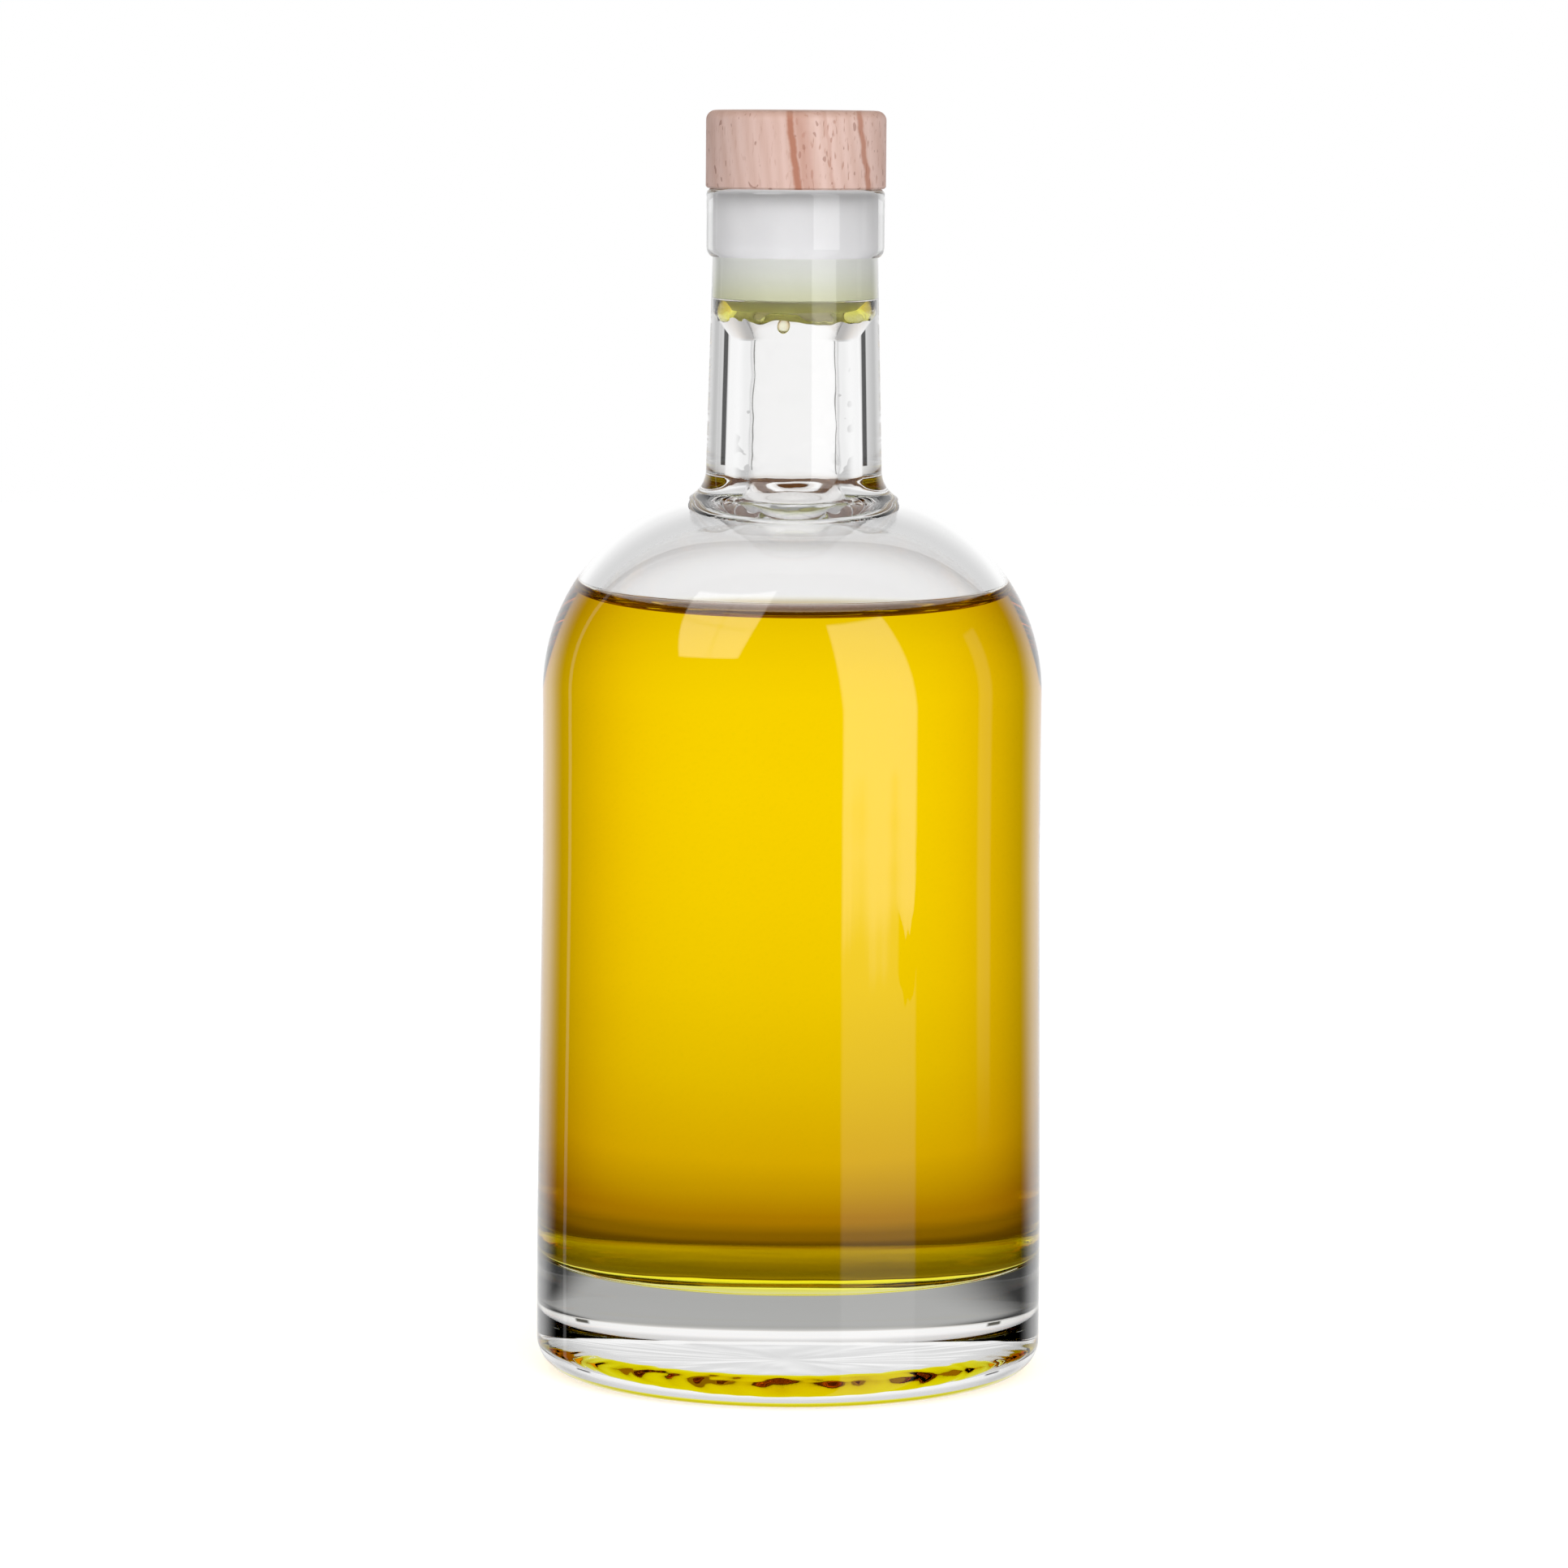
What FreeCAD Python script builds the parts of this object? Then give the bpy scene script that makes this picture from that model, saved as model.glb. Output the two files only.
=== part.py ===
"""A clear glass bottle for half a litre of oil, shut with a wood-topped stopper.

Millimetres, +Z up. The origin is the centre of the circle that the bottle stands on.
The bottle, its filling and its stopper are all turned about the Z axis:
  glass_bottle   thick-based round bottle with a domed shoulder and a banded mouth
  oil            the filling, up to its level in the lower shoulder
  stopper_plug   the pale plastic plug in the mouth, its lower end tapered
  wooden_head    the beech disc on top of the plug
"""
import FreeCAD
import Part
import math
import os
import Sketcher

V = FreeCAD.Vector

SIZES = {
    # Outside of the glass.
    "heel_radius": 42.2,
    "heel_round": 5.0,
    "heel_band_top": 24.4,
    "panel_radius": 41.5,
    "panel_low": 85.0,
    "panel_top": 103.0,
    "shoulder_radius": 41.55,
    "shoulder_level": 113.9,
    "dome_round": 33.5,
    "neck_fillet": 5.0,
    "neck_root_radius": 14.6,
    "neck_top_radius": 13.7,
    "band_bottom": 185.9,
    "band_step": 0.3,
    "band_radius": 14.75,
    "band_round": 2.2,
    "mouth_level": 197.2,
    "lip_round": 1.0,
    # Hollow under the base.
    "push_up_radius": 33.0,
    "push_up_height": 3.8,
    "push_up_round": 53.0,
    "plateau_radius": 24.0,
    # Inside of the glass.
    "floor_level": 18.3,
    "floor_crown": 1.2,
    "floor_round": 5.0,
    "cavity_radius": 38.45,
    "cavity_shoulder": 112.5,
    "cavity_dome_round": 30.4,
    "throat_fillet": 6.0,
    "throat_radius": 7.55,
    "choke_radius": 7.05,
    "choke_level": 172.6,
    "bore_radius": 8.9,
    "bore_bottom": 176.2,
    "mouth_round": 0.8,
    # Filling.
    "oil_level": 126.9,
    # Stopper.
    "plug_straight_bottom": 178.9,
    "plug_tip_level": 176.8,
    "plug_tip_radius": 7.2,
    "head_radius": 14.9,
    "head_thickness": 12.8,
    "head_top_round": 1.6,
    "head_low_bevel": 0.3,
}

START, END, CENTRE = 1, 2, 3
AXIS_X, AXIS_Z = -1, -2

doc = FreeCAD.newDocument("OilBottle")
sheet = doc.addObject("Spreadsheet::Sheet", "Sizes")
for row, (alias, value) in enumerate(SIZES.items(), start=1):
    sheet.set(f"A{row}", alias)
    sheet.set(f"B{row}", str(value))
    sheet.setAlias(f"B{row}", alias)
doc.recompute()


def size(name):
    """A driving dimension, read back from the sheet."""
    return float(sheet.get(name))


def sheet_formula(words):
    """Size names joined by + or -, as an expression that reads the sheet."""
    return " ".join(f"Sizes.{word}" if word in SIZES else word for word in words.split())


class HalfSection:
    """A closed outline in a body's XZ plane, drawn edge by edge like a pen line.

    In the sketch x is the distance from the bottle's axis and y is the height.
    """

    def __init__(self, body, name, radius, height):
        self.sketch = body.newObject("Sketcher::SketchObject", name)
        plane = next(f for f in body.Origin.OriginFeatures if f.Role == "XZ_Plane")
        self.sketch.AttachmentSupport = [(plane, "")]
        self.sketch.MapMode = "FlatFace"
        self.pen = (radius, height)
        self.first = self.last = None

    def constrain(self, *terms):
        return self.sketch.addConstraint(Sketcher.Constraint(*terms))

    def _add(self, edge, near_end, far_end, smooth):
        number = self.sketch.addGeometry(edge, False)
        if self.last:
            joint = "Tangent" if smooth else "Coincident"
            self.constrain(joint, *self.last, number, near_end)
        else:
            self.first = (number, near_end)
        self.last = (number, far_end)
        return number

    def line(self, radius, height, smooth=False):
        """A straight edge from the pen to a point."""
        edge = Part.LineSegment(V(*self.pen, 0), V(radius, height, 0))
        self.pen = (radius, height)
        return self._add(edge, START, END, smooth)

    def arc(self, centre, radius, height, leftward=True, smooth=False):
        """An arc from the pen to a point, turning left or right about its centre."""
        angles = [math.atan2(y - centre[1], x - centre[0])
                  for x, y in (self.pen, (radius, height))]
        ends = (START, END) if leftward else (END, START)
        low, high = angles if leftward else reversed(angles)
        if high < low:
            high += 2 * math.pi
        circle = Part.Circle(V(*centre, 0), V(0, 0, 1), math.dist(centre, self.pen))
        self.pen = (radius, height)
        return self._add(Part.ArcOfCircle(circle, low, high), *ends, smooth)

    def close(self):
        """Joins the last edge to the first."""
        self.constrain("Coincident", *self.last, *self.first)

    def upright(self, edge):
        self.constrain("Vertical", edge)

    def level(self, edge):
        self.constrain("Horizontal", edge)

    def on_axis(self, edge, end):
        self.constrain("PointOnObject", edge, end, AXIS_Z)

    def on_ground(self, edge, end):
        self.constrain("PointOnObject", edge, end, AXIS_X)

    def round_is(self, edge, words):
        """Drives an arc's radius from the sheet."""
        number = self.constrain("Radius", edge, self.sketch.Geometry[edge].Radius)
        self.sketch.setExpression(f"Constraints[{number}]", sheet_formula(words))

    def hold(self, edge, end, radius=None, height=None):
        """Drives a point's radius, its height or both from the sheet."""
        point = self.sketch.getPoint(edge, end)
        for kind, now, words in (("DistanceX", point.x, radius),
                                 ("DistanceY", point.y, height)):
            if words is not None:
                number = self.constrain(kind, -1, 1, edge, end, now)
                self.sketch.setExpression(f"Constraints[{number}]", sheet_formula(words))


def new_body(label):
    body = doc.addObject("PartDesign::Body", label)
    body.Label = label
    return body


def turn(body, section, kind, name):
    """Turns a half section a full circle about Z: a Revolution adds and a Groove cuts."""
    before = body.Shape.Volume if body.Shape.Solids else 0.0
    feature = body.newObject(f"PartDesign::{kind}", name)
    feature.Profile = section.sketch
    feature.ReferenceAxis = (section.sketch, ["V_Axis"])
    feature.Angle = 360.0
    section.sketch.Visibility = False
    doc.recompute()
    change = body.Shape.Volume - before
    print(f"{body.Label} {name}: {change / 1000:+.2f} cm3, "
          f"open freedoms {section.sketch.solve()}")
    if (change > 0) != (kind == "Revolution"):
        raise RuntimeError(f"{name} changed {body.Label} the wrong way")
    return feature


def round_between(wall, fillet, dome_centre, dome_round):
    """Centre of a fillet that leaves an upright wall and meets a dome from outside."""
    across = wall + fillet - dome_centre[0]
    rise = math.sqrt((dome_round + fillet) ** 2 - across ** 2)
    return wall + fillet, dome_centre[1] + rise


def between(start, end, share):
    """The point at a share of the way from one point to another."""
    return tuple(a + (b - a) * share for a, b in zip(start, end))


def draw_dome_and_neck(section, side, dome, fillet, root, neck_top):
    """Draws a dome, its fillet and the neck wall above it, and returns the wall's edge.

    side, dome, fillet and root name sizes: the wall below and its top level, the two
    rounds and the neck's radius at its foot. neck_top names its upper radius and level.
    """
    wall, level = side
    dome_centre = (size(wall) - size(dome), size(level))
    fillet_centre = round_between(size(root), size(fillet), dome_centre, size(dome))
    share = size(dome) / (size(dome) + size(fillet))
    meeting = between(dome_centre, fillet_centre, share)

    dome_arc = section.arc(dome_centre, *meeting)
    section.round_is(dome_arc, dome)
    section.hold(dome_arc, CENTRE, height=level)
    fillet_arc = section.arc(
        fillet_centre, size(root), fillet_centre[1], leftward=False, smooth=True)
    section.round_is(fillet_arc, fillet)
    neck_wall = section.line(size(neck_top[0]), size(neck_top[1]), smooth=True)
    section.hold(neck_wall, START, radius=root)
    section.hold(neck_wall, END, *neck_top)
    return neck_wall


def turn_blank(body):
    """The outside of the glass, turned solid."""
    heel, foot = size("heel_radius"), size("heel_round")
    section = HalfSection(body, "OutsideSection", 0, 0)

    under = section.line(heel - foot, 0)
    section.constrain("Coincident", under, START, -1, 1)
    section.on_ground(under, END)
    heel_arc = section.arc((heel - foot, foot), heel, foot, smooth=True)
    section.round_is(heel_arc, "heel_round")
    heel_band = section.line(heel, size("heel_band_top"), smooth=True)
    section.upright(heel_band)
    section.hold(heel_band, END, "heel_radius", "heel_band_top")
    draw_in = section.line(size("panel_radius"), size("panel_low"))
    section.hold(draw_in, END, "panel_radius", "panel_low")
    panel = section.line(size("panel_radius"), size("panel_top"))
    section.upright(panel)
    section.hold(panel, END, height="panel_top")
    swell = section.line(size("shoulder_radius"), size("shoulder_level"))
    section.hold(swell, END, "shoulder_radius", "shoulder_level")

    draw_dome_and_neck(section, ("shoulder_radius", "shoulder_level"), "dome_round",
                       "neck_fillet", "neck_root_radius",
                       ("neck_top_radius", "band_bottom"))
    draw_mouth_band(section)
    section.line(0, 0)
    section.close()
    turn(body, section, "Revolution", "Blank")


def draw_mouth_band(section):
    """The thick band round the mouth, from its undercut to the lip, and in to the axis."""
    band, turn_round = size("band_radius"), size("band_round")
    mouth, lip = size("mouth_level"), size("lip_round")
    inner = size("neck_top_radius") + size("band_step")
    centre_x = band - turn_round
    centre_z = size("band_bottom") + math.sqrt(turn_round ** 2 - (inner - centre_x) ** 2)

    step = section.line(inner, size("band_bottom"))
    section.level(step)
    section.hold(step, END, radius="neck_top_radius + band_step")
    low_round = section.arc((centre_x, centre_z), band, centre_z)
    section.round_is(low_round, "band_round")
    band_wall = section.line(band, mouth - lip, smooth=True)
    section.upright(band_wall)
    section.hold(band_wall, END, radius="band_radius")
    lip_arc = section.arc((band - lip, mouth - lip), band - lip, mouth, smooth=True)
    section.round_is(lip_arc, "lip_round")
    rim = section.line(0, mouth, smooth=True)
    section.level(rim)
    section.on_axis(rim, END)
    section.hold(rim, START, height="mouth_level")


def draw_floor_and_wall(section):
    """The crowned floor inside the glass, its corner and the foot of the upright wall."""
    wall, corner = size("cavity_radius"), size("floor_round")
    low, crown = size("floor_level"), size("floor_crown")
    corner_centre = (wall - corner, low + corner)
    crown_round = (corner_centre[0] ** 2 + crown ** 2) / (2 * crown) - corner
    crown_centre = (0, low + crown - crown_round)
    share = crown_round / (crown_round + corner)

    floor = section.arc(crown_centre, *between(crown_centre, corner_centre, share),
                        leftward=False)
    section.on_axis(floor, CENTRE)
    section.on_axis(floor, END)
    section.hold(floor, END, height="floor_level + floor_crown")
    floor_corner = section.arc(corner_centre, wall, low + corner, smooth=True)
    section.round_is(floor_corner, "floor_round")
    section.hold(floor_corner, CENTRE, height="floor_level + floor_round")
    upright = section.line(wall, size("cavity_shoulder"), smooth=True)
    section.upright(upright)
    section.hold(upright, END, "cavity_radius", "cavity_shoulder")


def cut_cavity(body):
    """The hollow of the bottle, its throat, the plug's seat and the mouth."""
    section = HalfSection(body, "CavitySection", 0, size("floor_level") + size("floor_crown"))
    draw_floor_and_wall(section)
    draw_dome_and_neck(section, ("cavity_radius", "cavity_shoulder"), "cavity_dome_round",
                       "throat_fillet", "throat_radius", ("choke_radius", "choke_level"))
    bore, mouth, flare = size("bore_radius"), size("mouth_level"), size("mouth_round")
    seat = section.line(bore, size("bore_bottom"))
    section.hold(seat, END, "bore_radius", "bore_bottom")
    bore_wall = section.line(bore, mouth - flare)
    section.upright(bore_wall)
    mouth_arc = section.arc(
        (bore + flare, mouth - flare), bore + flare, mouth, leftward=False, smooth=True)
    section.round_is(mouth_arc, "mouth_round")
    lid = section.line(0, mouth)
    section.level(lid)
    section.on_axis(lid, END)
    section.hold(lid, START, radius="bore_radius + mouth_round", height="mouth_level")
    section.line(0, size("floor_level") + size("floor_crown"))
    section.close()
    turn(body, section, "Groove", "Cavity")


def centre_of_arc(start, end, radius):
    """Centre of an arc that turns left on its way from start to end."""
    chord = math.dist(start, end)
    aside = math.sqrt(radius ** 2 - (chord / 2) ** 2) / chord
    middle = between(start, end, 0.5)
    return (middle[0] - (end[1] - start[1]) * aside, middle[1] + (end[0] - start[0]) * aside)


def cut_push_up(body):
    """The hollow under the base: a flat plateau in a bulging flank, inside the ring it stands on."""
    edge, plateau = size("push_up_radius"), size("plateau_radius")
    height = size("push_up_height")
    section = HalfSection(body, "PushUpSection", 0, 0)
    mouth = section.line(edge, 0)
    section.constrain("Coincident", mouth, START, -1, 1)
    section.level(mouth)
    section.hold(mouth, END, radius="push_up_radius")
    centre = centre_of_arc((edge, 0), (plateau, height), size("push_up_round"))
    flank = section.arc(centre, plateau, height)
    section.round_is(flank, "push_up_round")
    section.hold(flank, END, "plateau_radius", "push_up_height")
    flat = section.line(0, height)
    section.level(flat)
    section.on_axis(flat, END)
    section.line(0, 0)
    section.close()
    turn(body, section, "Groove", "PushUp")


def make_glass_bottle():
    body = new_body("glass_bottle")
    turn_blank(body)
    cut_cavity(body)
    cut_push_up(body)
    return body


def make_oil():
    """The filling: the cavity's own shape up to a level surface."""
    body = new_body("oil")
    level = size("oil_level")
    dome_centre = (size("cavity_radius") - size("cavity_dome_round"), size("cavity_shoulder"))
    reach = math.sqrt(size("cavity_dome_round") ** 2 - (level - dome_centre[1]) ** 2)
    section = HalfSection(body, "OilSection", 0, size("floor_level") + size("floor_crown"))
    draw_floor_and_wall(section)
    dome = section.arc(dome_centre, dome_centre[0] + reach, level)
    section.round_is(dome, "cavity_dome_round")
    section.hold(dome, CENTRE, height="cavity_shoulder")
    surface = section.line(0, level)
    section.level(surface)
    section.on_axis(surface, END)
    section.hold(surface, END, height="oil_level")
    section.line(0, size("floor_level") + size("floor_crown"))
    section.close()
    turn(body, section, "Revolution", "Filling")
    return body


def make_stopper_plug():
    """The plug fills the bore's straight seat and tapers at its lower end."""
    body = new_body("stopper_plug")
    section = HalfSection(body, "PlugSection", 0, size("plug_tip_level"))
    tip = section.line(size("plug_tip_radius"), size("plug_tip_level"))
    section.level(tip)
    section.on_axis(tip, START)
    section.hold(tip, END, "plug_tip_radius", "plug_tip_level")
    taper = section.line(size("bore_radius"), size("plug_straight_bottom"))
    section.hold(taper, END, "bore_radius", "plug_straight_bottom")
    side = section.line(size("bore_radius"), size("mouth_level"))
    section.upright(side)
    top = section.line(0, size("mouth_level"))
    section.level(top)
    section.on_axis(top, END)
    section.hold(top, START, height="mouth_level")
    section.line(0, size("plug_tip_level"))
    section.close()
    turn(body, section, "Revolution", "Plug")
    return body


def edges_at(shape, height):
    """Names of a shape's round edges at one height."""
    return [f"Edge{number}" for number, edge in enumerate(shape.Edges, start=1)
            if edge.Closed and abs(edge.CenterOfMass.z - height) < 1e-4]


def make_wooden_head():
    """A turned disc, rounded along its top edge and just broken along the lower one."""
    body = new_body("wooden_head")
    sketch = body.newObject("Sketcher::SketchObject", "DiscSection")
    plane = next(f for f in body.Origin.OriginFeatures if f.Role == "XY_Plane")
    sketch.AttachmentSupport = [(plane, "")]
    sketch.MapMode = "FlatFace"
    sketch.setExpression(".AttachmentOffset.Base.z", "Sizes.mouth_level")
    disc = Part.Circle(V(0, 0, 0), V(0, 0, 1), size("head_radius"))
    circle = sketch.addGeometry(disc, False)
    sketch.addConstraint(Sketcher.Constraint("Coincident", circle, CENTRE, -1, 1))
    number = sketch.addConstraint(
        Sketcher.Constraint("Radius", circle, size("head_radius")))
    sketch.setExpression(f"Constraints[{number}]", "Sizes.head_radius")
    pad = body.newObject("PartDesign::Pad", "Disc")
    pad.Profile = sketch
    pad.setExpression("Length", "Sizes.head_thickness")
    doc.recompute()

    top = size("mouth_level") + size("head_thickness")
    top_round = body.newObject("PartDesign::Fillet", "TopRound")
    top_round.Base = (pad, edges_at(pad.Shape, top))
    top_round.setExpression("Radius", "Sizes.head_top_round")
    doc.recompute()
    low_bevel = body.newObject("PartDesign::Chamfer", "LowBevel")
    low_bevel.Base = (top_round, edges_at(top_round.Shape, size("mouth_level")))
    low_bevel.setExpression("Size", "Sizes.head_low_bevel")
    doc.recompute()
    return body


def check(bodies):
    """Stops the build if any object failed or any piece isn't one valid solid."""
    failed = [o.Name for o in doc.Objects if {"Invalid", "Error"} & set(o.State)]
    if failed:
        raise RuntimeError(f"failed objects: {failed}")
    for body in bodies:
        shape = body.Shape
        if shape.isNull() or not shape.isValid() or len(shape.Solids) != 1:
            raise RuntimeError(f"{body.Label} isn't one valid solid")
        box = shape.BoundBox
        print(f"{body.Label}: {shape.Volume / 1000:.2f} cm3, radius {box.XMax:.2f}, "
              f"from {box.ZMin:.2f} to {box.ZMax:.2f} mm")


def main():
    bodies = [make_glass_bottle(), make_oil(), make_stopper_plug(), make_wooden_head()]
    doc.recompute()
    check(bodies)
    os.makedirs("parts", exist_ok=True)
    for body in bodies:
        body.Shape.exportStep(f"parts/{body.Label}.step")


main()
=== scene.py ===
import math

import bpy
from mathutils import Matrix, Vector


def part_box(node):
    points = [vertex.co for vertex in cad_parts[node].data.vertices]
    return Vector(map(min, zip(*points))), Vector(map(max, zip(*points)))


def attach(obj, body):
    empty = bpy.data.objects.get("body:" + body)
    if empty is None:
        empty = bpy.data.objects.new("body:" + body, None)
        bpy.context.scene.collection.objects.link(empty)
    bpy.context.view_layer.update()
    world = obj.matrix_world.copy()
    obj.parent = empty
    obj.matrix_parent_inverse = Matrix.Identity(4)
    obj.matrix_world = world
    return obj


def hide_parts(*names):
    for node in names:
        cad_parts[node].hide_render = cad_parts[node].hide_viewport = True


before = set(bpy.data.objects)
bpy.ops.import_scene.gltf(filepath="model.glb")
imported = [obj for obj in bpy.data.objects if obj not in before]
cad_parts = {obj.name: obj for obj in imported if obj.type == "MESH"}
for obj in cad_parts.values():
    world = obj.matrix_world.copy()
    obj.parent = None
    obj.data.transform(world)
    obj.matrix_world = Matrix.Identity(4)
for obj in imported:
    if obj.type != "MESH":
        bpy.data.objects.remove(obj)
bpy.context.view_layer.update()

# Main sizes, in metres, read from the frame.
_, GLASS_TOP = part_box("glass_bottle")
HEEL_RADIUS, MOUTH_LEVEL = GLASS_TOP.x, GLASS_TOP.z
OIL_LOW, OIL_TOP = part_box("oil")
CAVITY_RADIUS, FLOOR_LEVEL, OIL_LEVEL = OIL_TOP.x, OIL_LOW.z, OIL_TOP.z
PLUG_LOW, PLUG_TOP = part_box("stopper_plug")
BORE_RADIUS, PLUG_TIP_LEVEL = PLUG_TOP.x, PLUG_LOW.z
_, HEAD_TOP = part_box("wooden_head")
HEAD_RADIUS, HEAD_TOP_LEVEL = HEAD_TOP.x, HEAD_TOP.z

# Outside of the glass.
HEEL_ROUND = 0.005
HEEL_BAND_TOP = 0.0244
PANEL_RADIUS = 0.0415
PANEL_LOW, PANEL_TOP = 0.085, 0.103
SHOULDER_RADIUS, SHOULDER_LEVEL = 0.04155, 0.1139
DOME_ROUND = 0.0335
NECK_FILLET = 0.005
NECK_ROOT_RADIUS, NECK_TOP_RADIUS = 0.0146, 0.0137
BAND_BOTTOM, BAND_STEP, BAND_RADIUS, BAND_ROUND = 0.1859, 0.0003, 0.01475, 0.0022
LIP_ROUND = 0.001
PUSH_UP_RADIUS, PUSH_UP_HEIGHT = 0.033, 0.0038
PUSH_UP_ROUND, PLATEAU_RADIUS = 0.053, 0.024
KNURL_MARGIN, KNURL_HEIGHT = 0.0005, 0.00025

# Inside of the glass.
FLOOR_CROWN, FLOOR_ROUND = 0.0012, 0.005
CAVITY_SHOULDER, CAVITY_DOME_ROUND = 0.1125, 0.0304
THROAT_FILLET, THROAT_RADIUS = 0.006, 0.00755
CHOKE_RADIUS, CHOKE_LEVEL = 0.00705, 0.1726
BORE_BOTTOM = 0.1762
MOUTH_ROUND = 0.0008

# Oil, plug and head.
OIL_REACH, SURFACE_REACH, SURFACE_DEPTH = 0.00015, 0.00005, 0.0001
CAPILLARY_LENGTH, CONTACT_LEAN = 0.00192, math.radians(130)
CONTACT_LEVEL = OIL_LEVEL + 2 * CAPILLARY_LENGTH * math.sin(CONTACT_LEAN / 2)
PLUG_REACH = 0.0001
FILM_TOP, FILM_LOW, FILM_EDGE, FILM_DIP = 0.1786, 0.1753, 0.0001, 0.0008
DROP_HALVES = (0.0009, 0.0005, 0.0012)
DROP_PLACE = (-0.0016, -CHOKE_RADIUS - 0.0004, FILM_LOW - 0.0006)
PLUG_STRAIGHT_BOTTOM, PLUG_TIP_RADIUS = 0.1789, 0.0072
HEAD_TOP_ROUND, HEAD_LOW_BEVEL = 0.0016, 0.0003

GLASS_IOR, OIL_IOR = 1.52, 1.47

TURN_STEPS = 256
NEAR = 0.0001            # how far off a surface a face's middle may be and still count as on it


# ---------------------------------------------------------------- outlines

def arc(centre, radius, start, stop, steps):
    """Points on an arc of a half section. Angles are in degrees from straight outward."""
    angles = [math.radians(start + (stop - start) * n / steps) for n in range(steps + 1)]
    return [(centre[0] + radius * math.cos(a), centre[1] + radius * math.sin(a))
            for a in angles]


def run(start, stop, steps):
    """Points on a straight stretch of a half section."""
    return [tuple(a + (b - a) * n / steps for a, b in zip(start, stop)) for n in range(steps + 1)]


def centre_of_arc(start, end, radius):
    """Centre of an arc that turns left on its way from start to end."""
    chord = math.dist(start, end)
    aside = math.sqrt(radius ** 2 - (chord / 2) ** 2) / chord
    return ((start[0] + end[0]) / 2 - (end[1] - start[1]) * aside,
            (start[1] + end[1]) / 2 + (end[0] - start[0]) * aside)


def shoulder_and_throat(wall, level, dome, fillet, root, reach=0.0):
    """A dome that rises from a wall and turns into a neck of radius root by a fillet."""
    centre = (wall - dome, level)
    across = root + fillet - centre[0]
    rise = math.sqrt((dome + fillet) ** 2 - across ** 2)
    meeting = math.degrees(math.atan2(rise, across))
    return (arc(centre, dome + reach, 0, meeting, 48)
            + arc((root + fillet, level + rise), fillet - reach, 180 + meeting, 180, 16)[1:])


def floor_and_wall(reach=0.0):
    """The crowned floor, its corner and the wall, reach deeper in the glass."""
    corner = (CAVITY_RADIUS - FLOOR_ROUND, FLOOR_LEVEL + FLOOR_ROUND)
    crown_round = (corner[0] ** 2 + FLOOR_CROWN ** 2) / (2 * FLOOR_CROWN) - FLOOR_ROUND
    crown = (0.0, FLOOR_LEVEL + FLOOR_CROWN - crown_round)
    meeting = math.degrees(math.atan2(corner[1] - crown[1], corner[0]))
    wall = CAVITY_RADIUS + reach
    return (arc(crown, crown_round - reach, 90, meeting, 32)
            + arc(corner, FLOOR_ROUND + reach, meeting - 180, 0, 16)[1:]
            + run((wall, corner[1]), (wall, CAVITY_SHOULDER), 40)[1:-1])


def inner_dome(reach=0.0):
    """The cavity's dome and throat, with a point where the oil's surface touches it."""
    points = shoulder_and_throat(CAVITY_RADIUS, CAVITY_SHOULDER, CAVITY_DOME_ROUND,
                                 THROAT_FILLET, THROAT_RADIUS, reach)
    contact = contact_point(reach)
    return ([p for p in points if p[1] < contact[1]] + [contact]
            + [p for p in points if p[1] > contact[1]])


def contact_point(reach):
    """Where the oil's surface meets the dome, reach deeper in the glass."""
    rise = CONTACT_LEVEL - CAVITY_SHOULDER
    across = math.sqrt((CAVITY_DOME_ROUND + reach) ** 2 - rise ** 2)
    return CAVITY_RADIUS - CAVITY_DOME_ROUND + across, CONTACT_LEVEL


def under_outline():
    """The hollow under the base, from the axis out: a flat plateau and a bulging flank."""
    edge, plateau = (PUSH_UP_RADIUS, 0.0), (PLATEAU_RADIUS, PUSH_UP_HEIGHT)
    centre = centre_of_arc(edge, plateau, PUSH_UP_ROUND)
    low, high = (math.degrees(math.atan2(z - centre[1], r - centre[0]))
                 for r, z in (edge, plateau))
    flank = arc(centre, PUSH_UP_ROUND, high, low, 24)
    return run((0.0, PUSH_UP_HEIGHT), plateau, 6)[:-1] + flank[:-1] + [edge]


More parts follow.
